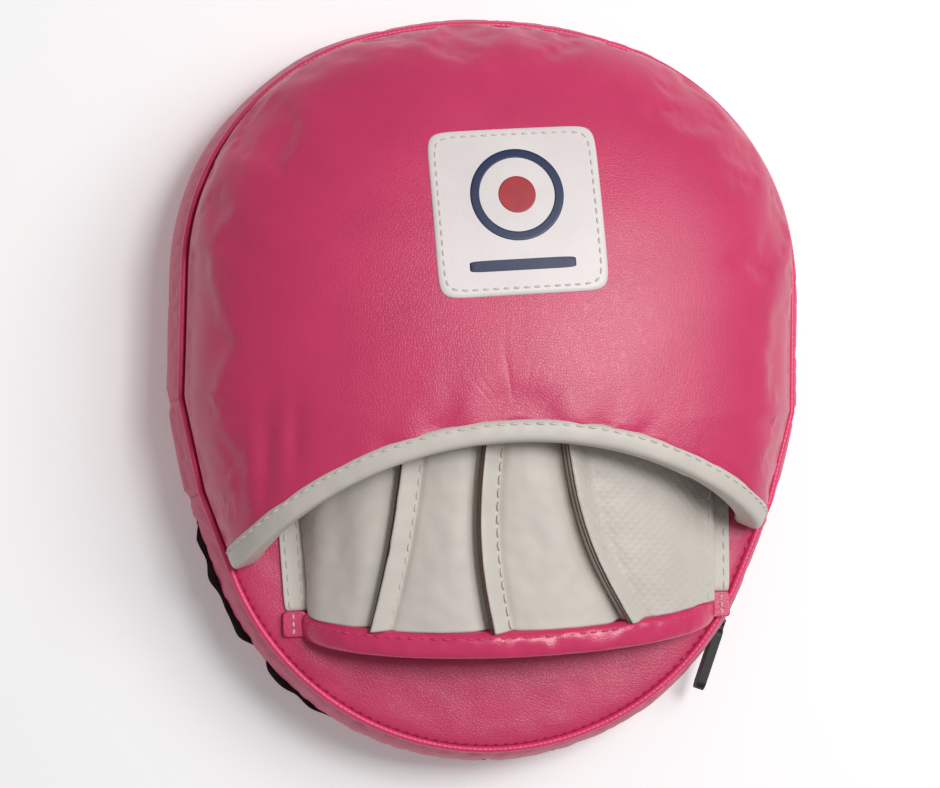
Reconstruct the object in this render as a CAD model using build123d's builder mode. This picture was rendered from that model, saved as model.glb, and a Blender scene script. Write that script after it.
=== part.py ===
"""Focus mitt: a padded striking pad with a hand glove and a padded finger hood on its back.

The pad lies on its striking face. +Z points out of the hand side, +Y to the fingertip end and +X to the side
where the closed zip's slider rests. The origin is on the striking face, at half the pad's length and width.
All sizes are millimetres.
"""
import os
from math import acos, asin, atan2, cos, degrees, hypot, radians, sin

from build123d import *

# ---------------------------------------------------------------- pad outline, seen from the hand side
pad_width = 204.0
pad_length = 241.5
crown_radius = 150.0        # flat arc over the fingertip end
shoulder_radius = 82.0      # arcs from the crown into the straight sides
heel_inset = 11.5           # the heel arc's radius is this much under half the width
upper_knee_rise = 23.0      # heights of the two knees in each side, from the heel arc's centre
lower_knee_rise = -7.75
lower_knee_inset = 7.5      # how far the sides have come in at the lower knee

# ---------------------------------------------------------------- pad build-up
leather = 1.2               # coated leather of every outer panel
pad_height = 45.0           # striking face to back panel
wall_bulge = 5.0            # the stuffed side wall stands this proud of the piping
piping_radius = 1.2
piping_set = 0.1            # the front piping clears what the pad lies on
piping_proud = 0.3          # the back piping stands above the back panel
foam_gap = 0.3
face_foam_height = 12.0
back_foam_height = 12.0
target_radius = 32.0

# ---------------------------------------------------------------- zip in the lower side wall
zip_height = 18.0           # centreline above the striking face
zip_slot_half = 5.6         # half the slot between the two wall strips
tape_thickness = 0.8
tape_tuck = 0.1             # play between a tape and the wall strip it is sewn under
tape_hem = 2.0              # how far each tape reaches under its wall strip
coil_width = 1.6
coil_thickness = 2.0
coil_gap = 0.4              # half the gap between the coils, where the slider's post runs
stop_start = 3.0            # from each end of the heel arc to its stop
stop_length = 2.6
groove_room = 0.8           # foam to the back of the slider

slider_length = 11.0
slider_width = 8.8
slider_plate = 1.1
slider_corner = 2.4
slider_clearance = 0.5      # slider to coils and tapes
slider_wall = 1.0           # side walls that hold the coils in
slider_wall_length = 6.0
slider_post_length = 2.4
slider_post_thickness = 0.44
slider_angle = -26.2        # rest place on the heel arc, from +X
crown_length = 7.2
crown_width = 2.4
crown_bar = 1.2

pull_wire = 1.3             # square wire of the link
hinge_clearance = 0.25      # the turning wire to the crown and to the tab's eye
link_length = 9.0
link_width = 6.0
tab_length = 22.0
tab_width = 6.4
tab_thickness = 3.0
tab_eye_wall = 0.6
pull_angle = 8.0            # the pull rests this far off the wall's tangent

# ---------------------------------------------------------------- hand: glove, wrist binding and side strips
hand_turn = 3.5             # the glove and the hood's mouth are sewn on a little turned
hand_offset = 6.0           # hand centre from the pad's centreline
hand_setback = 70.75        # hand centre from the heel end
wrist_half_width = 66.0
wrist_height = 27.0
wrist_lean = 12.0           # the wrist edge leans out towards the heel as it rises
knuckle_half_width = 68.0
knuckle_height = 30.0
tip_half_width = 52.0
tip_height = 15.0
wrist_reach = 22.0          # wrist edge, knuckle line and closed tip from the hand centre
knuckle_reach = 30.0
tip_reach = 98.0
knuckle_seams = (-33.0, -8.5, 16.5)     # the three finger seams' places across the hand, at the knuckles
wrist_seams = (-45.0, -8.0, 35.0)       # and at the wrist
side_strip_width = 8.0
wrist_binding_width = 8.5
wrist_binding_thickness = 3.4
binding_tab_length = 7.5    # flat stitched end of the wrist binding
binding_tab_thickness = 1.6

# ---------------------------------------------------------------- finger hood
hood_height = 46.0          # top of the dome above the back panel
hood_foam_thickness = 6.0
lining_thickness = 1.0
mouth_radius = 128.0        # arc of the hood's open edge
mouth_reach = 28.5          # its highest point from the hand centre
binding_width = 7.5
binding_proud = 0.5
label_side = 54.0
label_corner = 4.0
label_thickness = 0.5
label_offset = 3.2          # label centre from the pad's centreline
label_setback = 69.25       # and from the fingertip end

# ---------------------------------------------------------------- worked out from the sizes above
half_width = pad_width / 2
half_length = pad_length / 2
heel_radius = half_width - heel_inset
heel_y = heel_radius - half_length
crown_y = half_length - crown_radius
shoulder_turn = asin((half_width - shoulder_radius) / (crown_radius - shoulder_radius))
shoulder_centre = (
    half_width - shoulder_radius,
    crown_y + (crown_radius - shoulder_radius) * cos(shoulder_turn),
)
upper_knee = (half_width, heel_y + upper_knee_rise)
lower_knee = (half_width - lower_knee_inset, heel_y + lower_knee_rise)
knee_angle = atan2(lower_knee_rise, lower_knee[0])
heel_start = knee_angle - acos(heel_radius / hypot(lower_knee[0], lower_knee_rise))

wall_bottom = 2 * piping_radius + piping_set
wall_top = pad_height + piping_proud - 2 * piping_radius
foam_bottom = leather
foam_top = pad_height - leather

hand_centre = (hand_offset, hand_setback - half_length)
turn = radians(hand_turn)
hand_plane = Plane(origin=(*hand_centre, pad_height), x_dir=(cos(turn), sin(turn), 0), z_dir=(0, 0, 1))
dome_centre = (hand_centre[0] - knuckle_reach * sin(turn), hand_centre[1] + knuckle_reach * cos(turn))


def wall_grow(z):
    """How far the outside of the side wall stands out of the piping line at height z."""
    share = (z - wall_bottom) / (wall_top - wall_bottom)
    return wall_bulge * (1 - (2 * share - 1) ** 2)


zip_low = zip_height - zip_slot_half
zip_high = zip_height + zip_slot_half
tape_outer = wall_grow(zip_low - tape_hem) - leather - tape_tuck
tape_inner = tape_outer - tape_thickness
coil_outer = (tape_outer + tape_inner + coil_thickness) / 2
coil_inner = coil_outer - coil_thickness
plate_inner = coil_inner - slider_clearance - slider_plate
plate_outer = coil_outer + slider_clearance + slider_plate
eye_radius = pull_wire * 0.5 ** 0.5 + hinge_clearance    # room for the square wire to turn


def moved_corner(corner, before, after, grow):
    """Where a corner goes when the straight sides before and after it move out by grow."""
    normals = []
    for (x0, y0), (x1, y1) in ((before, corner), (corner, after)):
        run = hypot(x1 - x0, y1 - y0)
        normals.append(((y0 - y1) / run, (x1 - x0) / run))
    (ax, ay), (bx, by) = normals
    reach = grow / (1 + ax * bx + ay * by)
    return corner[0] + reach * (ax + bx), corner[1] + reach * (ay + by)


def heel_point(grow):
    """End of the heel arc on the right-hand side."""
    radius = heel_radius + grow
    return radius * cos(heel_start), heel_y + radius * sin(heel_start)


def pad_outline(grow=0.0):
    """The pad's outline moved out by grow, as a sketch on the plane Z = 0."""
    side_top = (half_width, shoulder_centre[1])
    crown_sweep = degrees(shoulder_turn)
    heel_sweep = 90 + degrees(heel_start)
    with BuildSketch() as outline:
        with BuildLine():
            CenterArc((0, crown_y), crown_radius + grow, 90, -crown_sweep)
            CenterArc(shoulder_centre, shoulder_radius + grow, 90 - crown_sweep, crown_sweep - 90)
            Polyline(
                (half_width + grow, shoulder_centre[1]),
                moved_corner(upper_knee, side_top, lower_knee, grow),
                moved_corner(lower_knee, upper_knee, heel_point(0), grow),
                heel_point(grow),
            )
            CenterArc((0, heel_y), heel_radius + grow, degrees(heel_start), -heel_sweep)
            mirror(about=Plane.YZ)
        make_face()
    return outline.sketch


def wall_solid(inset):
    """The solid inside the side wall, moved in by inset."""
    steps = 6
    with BuildPart() as block:
        for step in range(steps + 1):
            z = wall_bottom + (wall_top - wall_bottom) * step / steps
            with BuildSketch(Plane.XY.offset(z)):
                add(pad_outline(wall_grow(z) - inset))
        loft()
    return block.part


def outline_band(outer, inner, low, high):
    """An upright band that follows the pad outline, between two grows and two heights."""
    with BuildPart() as band:
        with BuildSketch(Plane.XY.offset(low)):
            add(pad_outline(outer))
            add(pad_outline(inner), mode=Mode.SUBTRACT)
        extrude(amount=high - low)
    return band.part


def across(y):
    """Upright plane across the pad that faces the fingertips."""
    return Plane(origin=(0, y, 0), x_dir=(-1, 0, 0), z_dir=(0, 1, 0))


def save(piece, name):
    """Labels a finished piece and writes its STEP file."""
    piece.part.label = name
    export_step(piece.part, f"parts/{name}.step")


os.makedirs("parts", exist_ok=True)

# ================================================================ covers of the striking pad
with BuildPart() as strike_face:
    with BuildSketch():
        add(pad_outline(-piping_radius))
        Circle(target_radius, mode=Mode.SUBTRACT)
    extrude(amount=leather)
save(strike_face, "strike_face")

with BuildPart() as target_disc:
    with BuildSketch():
        Circle(target_radius)
    extrude(amount=leather)
save(target_disc, "target_disc")

with BuildPart() as back_panel:
    with BuildSketch(Plane.XY.offset(foam_top)):
        add(pad_outline(-piping_radius))
    extrude(amount=leather)
save(back_panel, "back_panel")

# The two welts have a rounded section, and lie between the wall and the panels.
for name, low in (("front_piping", piping_set), ("back_piping", wall_top)):
    with BuildPart() as welt:
        add(outline_band(piping_radius, -piping_radius, low, low + 2 * piping_radius))
        flat_edges = welt.faces().filter_by(GeomType.PLANE).filter_by(Axis.Z).edges()
        fillet(flat_edges, radius=0.9 * piping_radius)
    save(welt, name)

# The side wall is cut into panels at the knees, and below them into a strip on each side of the zip.
with BuildPart() as wall_skin:
    add(wall_solid(0))
    add(wall_solid(leather), mode=Mode.SUBTRACT)

with BuildPart() as gusset_upper:
    add(wall_skin.part)
    split(bisect_by=across(upper_knee[1]), keep=Keep.TOP)
save(gusset_upper, "gusset_upper")

for name, side in (("gusset_side_left", Keep.BOTTOM), ("gusset_side_right", Keep.TOP)):
    with BuildPart() as gusset_side:
        add(wall_skin.part)
        split(bisect_by=across(upper_knee[1]), keep=Keep.BOTTOM)
        split(bisect_by=across(lower_knee[1]), keep=Keep.TOP)
        split(bisect_by=Plane.YZ, keep=side)
    save(gusset_side, name)

for name, edge, side in (
    ("gusset_lower_front", zip_low, Keep.BOTTOM),
    ("gusset_lower_back", zip_high, Keep.TOP),
):
    with BuildPart() as gusset_lower:
        add(wall_skin.part)
        split(bisect_by=across(lower_knee[1]), keep=Keep.BOTTOM)
        split(bisect_by=Plane.XY.offset(edge), keep=side)
    save(gusset_lower, name)

# ================================================================ filling of the striking pad
with BuildPart() as zip_groove:
    add(
        outline_band(
            wall_bulge,
            plate_inner - groove_room,
            zip_low - tape_hem - groove_room,
            zip_high + tape_hem + groove_room,
        )
    )
    split(bisect_by=across(lower_knee[1]), keep=Keep.BOTTOM)

with BuildPart() as filling:
    add(wall_solid(leather + foam_gap))
    for low, high in ((foam_bottom, wall_bottom), (wall_top, foam_top)):
        with BuildSketch(Plane.XY.offset(low)):
            add(pad_outline(-2 * piping_radius))
        extrude(amount=high - low)
    add(zip_groove.part, mode=Mode.SUBTRACT)

core_bottom = foam_bottom + face_foam_height
core_top = foam_top - back_foam_height
for name, low, high in (
    ("foam_face", foam_bottom, core_bottom),
    ("foam_core", core_bottom, core_top),
    ("foam_back", core_top, foam_top),
):
    with BuildPart() as layer:
        add(filling.part)
        split(bisect_by=Plane.XY.offset(low), keep=Keep.TOP)
        split(bisect_by=Plane.XY.offset(high), keep=Keep.BOTTOM)
    save(layer, name)

# ================================================================ zip tapes, coils and stops
coil_near = coil_gap
coil_far = coil_gap + coil_width
for name, low, high in (
    ("zip_tape_back", zip_height + coil_far, zip_high + tape_hem),
    ("zip_tape_front", zip_low - tape_hem, zip_height - coil_far),
):
    with BuildPart() as tape:
        add(outline_band(tape_outer, tape_inner, low, high))
        split(bisect_by=across(lower_knee[1] - foam_gap), keep=Keep.BOTTOM)
    save(tape, name)

run_angle = heel_start + radians(90)    # direction of the straight run beyond the heel arc, on the right
run_x, run_y = cos(run_angle), sin(run_angle)


def run_plane(reach, out, side=1):
    """Plane across the chain, reach along a straight run and out from it, that faces away from the heel."""
    x, y = heel_point(out)
    return Plane(
        origin=(side * (x + reach * run_x), y + reach * run_y, zip_height),
        x_dir=(0, 0, 1),
        z_dir=(side * run_x, run_y, 0),
    )


for name, low in (("zip_coil_back", zip_height + coil_near), ("zip_coil_front", zip_height - coil_far)):
    with BuildPart() as coil:
        add(outline_band(coil_outer, coil_inner, low, low + coil_width))
        for side in (-1, 1):
            split(bisect_by=run_plane(stop_start, 0, side), keep=Keep.BOTTOM)
    save(coil, name)

for name, side in (("zip_stop_left", -1), ("zip_stop_right", 1)):
    with BuildPart() as stop:
        with BuildSketch(run_plane(stop_start, (coil_outer + coil_inner) / 2, side)):
            RectangleRounded(2 * coil_far, coil_thickness, coil_thickness / 4)
        extrude(amount=stop_length)
    save(stop, name)

# ================================================================ slider and pull
rest = radians(slider_angle)


def slider_plane(out, along=0.0, lift=0.0):
    """Plane on the slider, out from the heel arc and along the chain; its x runs along and its z points out.

    The plane is lifted off the wall by an angle, about its upright axis.
    """
    x = (heel_radius + out) * cos(rest) + along * sin(rest)
    y = (heel_radius + out) * sin(rest) - along * cos(rest)
    faces = rest + radians(lift)
    return Plane(
        origin=(x, heel_y + y, zip_height),
        x_dir=(sin(faces), -cos(faces), 0),
        z_dir=(cos(faces), sin(faces), 0),
    )


slider_head = -slider_length / 2 + slider_wall      # where the post and the crown start
crown_middle = slider_head + crown_length / 2
wall_places = [(0, side * (slider_width - slider_wall) / 2) for side in (-1, 1)]
with BuildPart() as slider_body:
    for low in (plate_inner, plate_outer - slider_plate):
        with BuildSketch(slider_plane(low)):
            RectangleRounded(slider_length, slider_width, slider_corner)
        extrude(amount=slider_plate)
    for low, high in (
        (plate_inner + slider_plate, tape_inner - slider_clearance),
        (tape_outer + slider_clearance, plate_outer - slider_plate),
    ):
        with BuildSketch(slider_plane(low)):
            with Locations(*wall_places):
                Rectangle(slider_wall_length, slider_wall)
        extrude(amount=high - low)
    with BuildSketch(slider_plane(plate_inner)):
        with Locations((slider_head + slider_post_length / 2, 0)):
            Rectangle(slider_post_length, slider_post_thickness)
    extrude(amount=plate_outer - plate_inner)
    with BuildSketch(slider_plane(plate_outer)):
        with Locations((crown_middle, 0)):
            Rectangle(crown_length, crown_width)
            Rectangle(crown_length - 2 * crown_bar, crown_width, mode=Mode.SUBTRACT)
    extrude(amount=2 * eye_radius)
    with BuildSketch(slider_plane(plate_outer + 2 * eye_radius)):
        with Locations((crown_middle, 0)):
            Rectangle(crown_length, crown_width)
    extrude(amount=crown_bar)
save(slider_body, "slider_body")

# The link's near bar runs under the crown, and its far bar runs through the tab's eye.
pull_plane = slider_plane(plate_outer + eye_radius, crown_middle, pull_angle)
link_bar_gap = link_length - pull_wire
link_inner = link_width - 2 * pull_wire
with BuildPart() as pull_link:
    with BuildSketch(pull_plane.offset(-pull_wire / 2)):
        with Locations((link_bar_gap / 2, 0)):
            RectangleRounded(link_length, link_width, pull_wire)
            Rectangle(link_length - 2 * pull_wire, link_inner, mode=Mode.SUBTRACT)
    extrude(amount=pull_wire)
save(pull_link, "pull_link")

neck_width = link_inner - 2 * hinge_clearance
neck_start = link_bar_gap - eye_radius - tab_eye_wall
tab_start = link_bar_gap + eye_radius + tab_eye_wall
with BuildPart() as pull_tab:
    with BuildSketch(pull_plane.offset(-tab_thickness / 2)):
        with Locations((tab_start + tab_length / 2, 0)):
            RectangleRounded(tab_length, tab_width, 0.4 * tab_width)
        with Locations((neck_start, 0)):
            Rectangle(tab_start + tab_width / 2 - neck_start, neck_width, align=(Align.MIN, Align.CENTER))
    extrude(amount=tab_thickness)
    with BuildSketch(Plane(origin=pull_plane.origin, x_dir=pull_plane.x_dir, z_dir=(0, 0, 1))):
        with Locations((link_bar_gap, 0)):
            Circle(eye_radius)
    extrude(amount=tab_width, both=True, mode=Mode.SUBTRACT)
save(pull_tab, "pull_tab")

# ================================================================ finger hood
# What is sewn into the seam on the back is trimmed to the piping's inner side.
with BuildPart() as seam_trim:
    with BuildSketch(Plane.XY.offset(pad_height)):
        add(pad_outline(-piping_radius))
    extrude(amount=2 * hood_height)

dome_rises = (0.0, 0.2, 0.42, 0.65, 0.83, 0.94, 0.99)   # height shares of the dome's sections
dome_power = 2.4                                        # its profile is a superellipse


def dome(inset):
    """The solid under the hood's surface, moved in by inset: the pad's outline, drawn in as it rises."""
    with BuildPart() as solid:
        for rise in dome_rises:
            share = (1 - rise ** dome_power) ** (1 / dome_power) * (1 - inset / half_width)
            outline = scale(pad_outline(-piping_radius), by=share, mode=Mode.PRIVATE)
            with BuildSketch(Plane.XY.offset(pad_height + rise * (hood_height - inset))):
                with Locations(((1 - share) * dome_centre[0], (1 - share) * dome_centre[1])):
                    add(outline)
        loft()
    return solid.part


def mouth_cutter(extra):
    """Everything on the heel side of the hood's open edge, moved towards the fingertips by extra."""
    with BuildPart() as cutter:
        with BuildSketch(hand_plane.offset(-leather)):
            with Locations((0, mouth_reach - mouth_radius)):
                Circle(mouth_radius + extra)
        extrude(amount=hood_height + 10 * leather)
    return cutter.part


foam_inner = leather + hood_foam_thickness
hood_inner = foam_inner + lining_thickness
for name, outer, inner in (
    ("hood_skin", 0, leather),
    ("hood_foam", leather, foam_inner),
    ("hood_lining", foam_inner, hood_inner),
):
    with BuildPart() as hood_layer:
        add(dome(outer))
        add(dome(inner), mode=Mode.SUBTRACT)
        add(mouth_cutter(binding_width), mode=Mode.SUBTRACT)
    save(hood_layer, name)

with BuildPart() as hood_binding:
    add(dome(-binding_proud))
    add(dome(hood_inner + binding_proud), mode=Mode.SUBTRACT)
    add(mouth_cutter(binding_width), mode=Mode.INTERSECT)
    add(mouth_cutter(0), mode=Mode.SUBTRACT)
    add(seam_trim.part, mode=Mode.INTERSECT)
save(hood_binding, "hood_binding")

label_plane = Plane(
    origin=(label_offset, half_length - label_setback, pad_height),
    x_dir=hand_plane.x_dir,
    z_dir=(0, 0, 1),
)
with BuildPart() as hood_label:
    with BuildSketch(label_plane):
        RectangleRounded(label_side, label_side, label_corner)
    extrude(amount=hood_height + 2 * label_thickness)
    add(dome(-label_thickness), mode=Mode.INTERSECT)
    add(dome(0), mode=Mode.SUBTRACT)
save(hood_label, "hood_label")

# ================================================================ hand glove
def hand_section(reach, lean=0.0):
    """Plane across the hand that stands on the back panel, faces the wrist and leans towards it."""
    x = hand_centre[0] - reach * sin(turn)
    y = hand_centre[1] + reach * cos(turn)
    flat = cos(radians(lean))
    return Plane(
        origin=(x, y, pad_height),
        x_dir=(cos(turn), sin(turn), 0),
        z_dir=(flat * sin(turn), -flat * cos(turn), -sin(radians(lean))),
    )


def arch(half, height):
    """Half an ellipse that stands on its sketch's x axis."""
    with BuildSketch() as profile:
        Ellipse(half, height)
        Rectangle(2 * half, height, align=(Align.CENTER, Align.MAX), mode=Mode.SUBTRACT)
    return profile.sketch


wrist_section = hand_section(-wrist_reach, wrist_lean)


def glove_solid(inset, tip):
    """The solid under the glove's surface, moved in by inset, that ends at tip."""
    with BuildPart() as solid:
        for plane, half, height in (
            (wrist_section, wrist_half_width, wrist_height),
            (hand_section(knuckle_reach), knuckle_half_width, knuckle_height),
            (hand_section(tip), tip_half_width, tip_height),
        ):
            with BuildSketch(plane):
                add(arch(half - inset, height - inset))
        loft(ruled=True)
    return solid.part


with BuildPart() as glove:
    add(glove_solid(0, tip_reach))
    add(glove_solid(leather, tip_reach - leather), mode=Mode.SUBTRACT)

wrist_start = -wrist_reach - wrist_height    # beyond the leaning wrist edge
outer_edge = max(wrist_half_width, knuckle_half_width) + leather
seams = ((-outer_edge, -outer_edge), *zip(wrist_seams, knuckle_seams), (outer_edge, outer_edge))
for finger in range(4):
    (left_wrist, left), (right_wrist, right) = seams[finger : finger + 2]
    with BuildPart() as stall_panel:
        with BuildSketch(hand_plane):
            with BuildLine():
                Polyline(
                    (left_wrist, wrist_start),
                    (right_wrist, wrist_start),
                    (right_wrist, -wrist_reach),
                    (right, knuckle_reach),
                    (right, tip_reach),
                    (left, tip_reach),
                    (left, knuckle_reach),
                    (left_wrist, -wrist_reach),
                    close=True,
                )
            make_face()
        extrude(amount=hood_height)
        add(glove.part, mode=Mode.INTERSECT)
    save(stall_panel, f"stall_panel_{finger + 1}")

for name, side in (("side_strip_left", -1), ("side_strip_right", 1)):
    with BuildPart() as side_strip:
        with BuildSketch(hand_plane):
            with BuildLine():
                Polyline(
                    (side * wrist_half_width, -wrist_reach),
                    (side * (wrist_half_width + side_strip_width), -wrist_reach),
                    (side * (knuckle_half_width + side_strip_width), knuckle_reach),
                    (side * knuckle_half_width, knuckle_reach),
                    close=True,
                )
            make_face()
        extrude(amount=leather)
        add(seam_trim.part, mode=Mode.INTERSECT)
    save(side_strip, name)

binding_fold = (wrist_binding_thickness - leather) / 2    # how far the binding stands off the glove each way
binding_half = wrist_half_width + binding_fold
binding_height = wrist_height + binding_fold
with BuildPart() as wrist_binding:
    with BuildSketch(wrist_section):
        add(arch(binding_half, binding_height))
        add(
            arch(binding_half - wrist_binding_thickness, binding_height - wrist_binding_thickness),
            mode=Mode.SUBTRACT,
        )
    extrude(amount=wrist_binding_width)
    add(seam_trim.part, mode=Mode.INTERSECT)
save(wrist_binding, "wrist_binding")

for name, side in (("binding_tab_left", -1), ("binding_tab_right", 1)):
    with BuildPart() as binding_tab:
        with BuildSketch(hand_plane):
            with Locations((side * (binding_half + binding_tab_length / 2), -wrist_reach)):
                Rectangle(binding_tab_length, wrist_binding_width, align=(Align.CENTER, Align.MAX))
        extrude(amount=binding_tab_thickness)
        add(seam_trim.part, mode=Mode.INTERSECT)
    save(binding_tab, name)
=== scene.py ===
from math import cos, pi, radians, sin

import bmesh
import bpy
import numpy as np
from mathutils import Matrix, Vector, noise


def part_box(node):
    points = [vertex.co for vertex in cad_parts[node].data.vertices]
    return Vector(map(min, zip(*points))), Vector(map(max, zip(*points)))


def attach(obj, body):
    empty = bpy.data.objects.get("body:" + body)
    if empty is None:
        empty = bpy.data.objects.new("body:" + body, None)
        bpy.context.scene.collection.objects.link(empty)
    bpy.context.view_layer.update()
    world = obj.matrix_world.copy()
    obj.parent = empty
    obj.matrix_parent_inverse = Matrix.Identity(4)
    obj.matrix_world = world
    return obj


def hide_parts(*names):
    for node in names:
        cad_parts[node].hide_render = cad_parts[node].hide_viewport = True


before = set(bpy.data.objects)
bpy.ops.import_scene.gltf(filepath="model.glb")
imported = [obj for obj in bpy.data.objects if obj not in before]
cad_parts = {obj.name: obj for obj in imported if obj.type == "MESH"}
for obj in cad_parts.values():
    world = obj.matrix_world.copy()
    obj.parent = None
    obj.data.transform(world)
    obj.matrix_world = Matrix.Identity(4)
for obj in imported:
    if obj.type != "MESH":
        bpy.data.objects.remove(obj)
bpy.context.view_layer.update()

bl_info = {
    "name": "Focus Mitt",
    "version": (1, 0, 0),
    "blender": (4, 5, 0),
    "location": "View3D > Sidebar > Focus Mitt",
    "description": "Sews the leather, stitching, glove, hood and zip of a focus mitt round its packed solids",
    "category": "Add Mesh",
}

MM = 0.001
TURN = 2 * pi

# ================================================================ places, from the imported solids
PIPING_RADIUS = (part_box("back_piping")[1].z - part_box("back_piping")[0].z) / 2
BACK_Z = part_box("back_panel")[1].z
WALL_LOW, WALL_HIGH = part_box("gusset_upper")[0].z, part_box("gusset_upper")[1].z
WALL_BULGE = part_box("gusset_upper")[1].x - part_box("back_piping")[1].x + PIPING_RADIUS
UPPER_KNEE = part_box("gusset_side_right")[1].y
LOWER_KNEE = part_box("gusset_side_right")[0].y
SLOT_LOW, SLOT_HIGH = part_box("gusset_lower_front")[1].z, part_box("gusset_lower_back")[0].z
CHAIN_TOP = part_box("zip_coil_back")[1].y
COIL_THICKNESS = 2.0 * MM

# The hand's own frame, turned on the back panel, and the sizes of the glove and of the hood's mouth.
HAND = np.array((6.0, -50.0)) * MM
HAND_TURN = radians(3.5)
GLOVE_REACH = np.array((-22.0, 30.0, 98.0)) * MM    # wrist, knuckles, closed tip
GLOVE_HALF = np.array((66.0, 68.0, 52.0)) * MM
GLOVE_HEIGHT = np.array((27.0, 30.0, 15.0)) * MM
WRIST_SEAMS = np.array((-45.0, -8.0, 35.0)) * MM
KNUCKLE_SEAMS = np.array((-33.0, -8.5, 16.5)) * MM
SEAM_SWAY = np.array((1.0, -3.0, -4.0)) * MM        # how far the soft seams bow between knuckles and wrist
WRIST_LEAN = radians(19.0)
MOUTH_RADIUS = 128.0 * MM
MOUTH_MIDDLE = -99.5 * MM                           # the mouth arc's centre along the hand
BINDING_WIDTH = 7.5 * MM
DOME_POWER = 2.4
DOME_TOP_SHARE = 0.99                               # the dome's solid stops at this share of its height
DOME_HEIGHT = (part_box("hood_skin")[1].z - BACK_Z) / DOME_TOP_SHARE
HOOD_THICKNESS = 7.2 * MM
LINING_THICKNESS = 1.0 * MM


def hand_to_pad(u, v):
    """Points across (u) and along (v) the hand, as x and y on the pad."""
    c, s = cos(HAND_TURN), sin(HAND_TURN)
    return HAND[0] + u * c - v * s, HAND[1] + u * s + v * c


DOME_CENTRE = np.array(hand_to_pad(0.0, GLOVE_REACH[1]))
MOUTH_CENTRE = np.array(hand_to_pad(0.0, MOUTH_MIDDLE))


# ================================================================ settings
class MittSizes(bpy.types.PropertyGroup):
    """Sizes of the sewing, in metres."""

    stitch_pitch: bpy.props.FloatProperty(
        name="Stitch pitch", description="From one stitch to the next", default=4.1 * MM, unit="LENGTH"
    )
    thread: bpy.props.FloatProperty(
        name="Thread radius", description="Half the sewing thread's width", default=0.36 * MM, unit="LENGTH"
    )
    grain: bpy.props.FloatProperty(
        name="Leather grain", description="Width of one pebble of the grain", default=0.9 * MM, unit="LENGTH"
    )
    fin: bpy.props.FloatProperty(
        name="Finger seam", description="How far a lapped finger seam stands up", default=3.2 * MM, unit="LENGTH"
    )
    ruffle: bpy.props.FloatProperty(
        name="Tape ruffle", description="How far the loose zip tape stands out", default=3.8 * MM, unit="LENGTH"
    )


def linear(hex_value):
    """An sRGB hex value as a linear colour with full alpha."""
    channels = [int(hex_value[i : i + 2], 16) / 255 for i in (0, 2, 4)]
    return [c / 12.92 if c <= 0.04045 else ((c + 0.055) / 1.055) ** 2.4 for c in channels] + [1.0]


def colour_setting(name, description, hex_value):
    """A colour of the settings, whose default is given as an sRGB hex value."""
    return bpy.props.FloatVectorProperty(
        name=name, description=description, default=linear(hex_value)[:3], min=0.0, max=1.0, subtype="COLOR"
    )


class MittColours(bpy.types.PropertyGroup):
    """Colours of the materials."""

    pink: colour_setting("Leather", "Hood, side wall and back panel", "CB3463")
    light: colour_setting("Glove leather", "Glove and hood binding", "D0C9C0")
    white: colour_setting("Patch", "Label patch and target", "E2DAD9")
    raw: colour_setting("Raw edge", "Cut edges of the glove's leather", "553D31")
    black: colour_setting("Zip", "Zip tape, coils and pull", "131315")
    navy: colour_setting("Dark print", "Ring and bar on the patch", "14254D")
    red: colour_setting("Bright print", "Dot on the patch", "A8242E")


def shade(colour, factor):
    """A linear colour made darker or lighter."""
    return [min(1.0, c * factor) for c in colour[:3]] + [1.0]


# ================================================================ materials
def add_node(tree, kind, settings=None, values=None, links=None):
    """Adds a node, sets its properties and input values, and links its inputs to other nodes' outputs."""
    node = tree.nodes.new(kind)
    for key, value in (settings or {}).items():
        setattr(node, key, value)
    for key, value in (values or {}).items():
        node.inputs[key].default_value = value
    for key, (source, output) in (links or {}).items():
        tree.links.new(source.outputs[output], node.inputs[key])
    return node


def new_material(name, values):
    """A new material, with its tree, its Principled shader and a node of object coordinates."""
    material = bpy.data.materials.new(name)
    material.use_nodes = True
    tree = material.node_tree
    shader = tree.nodes["Principled BSDF"]
    for key, value in values.items():
        shader.inputs[key].default_value = value
    return material, tree, shader, add_node(tree, "ShaderNodeTexCoord")


def mottled(tree, shader, place, colour, size, spread, roughness, rough_spread):
    """Colour and roughness that vary in soft clouds of a size in metres."""
    clouds = add_node(
        tree,
        "ShaderNodeTexNoise",
        values={"Scale": 1 / size, "Detail": 4.0, "Roughness": 0.55},
        links={"Vector": (place, "Object")},
    )
    ramp = add_node(tree, "ShaderNodeValToRGB", links={"Fac": (clouds, "Fac")})
    for stop, (where, factor) in zip(ramp.color_ramp.elements, ((0.3, 1 - spread), (0.7, 1 + spread))):
        stop.position = where
        stop.color = shade(colour, factor)
    rough = add_node(
        tree,
        "ShaderNodeMapRange",
        values={"To Min": roughness - rough_spread, "To Max": roughness + rough_spread},
        links={"Value": (clouds, "Fac")},
    )
    tree.links.new(ramp.outputs["Color"], shader.inputs["Base Color"])
    tree.links.new(rough.outputs["Result"], shader.inputs["Roughness"])


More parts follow.
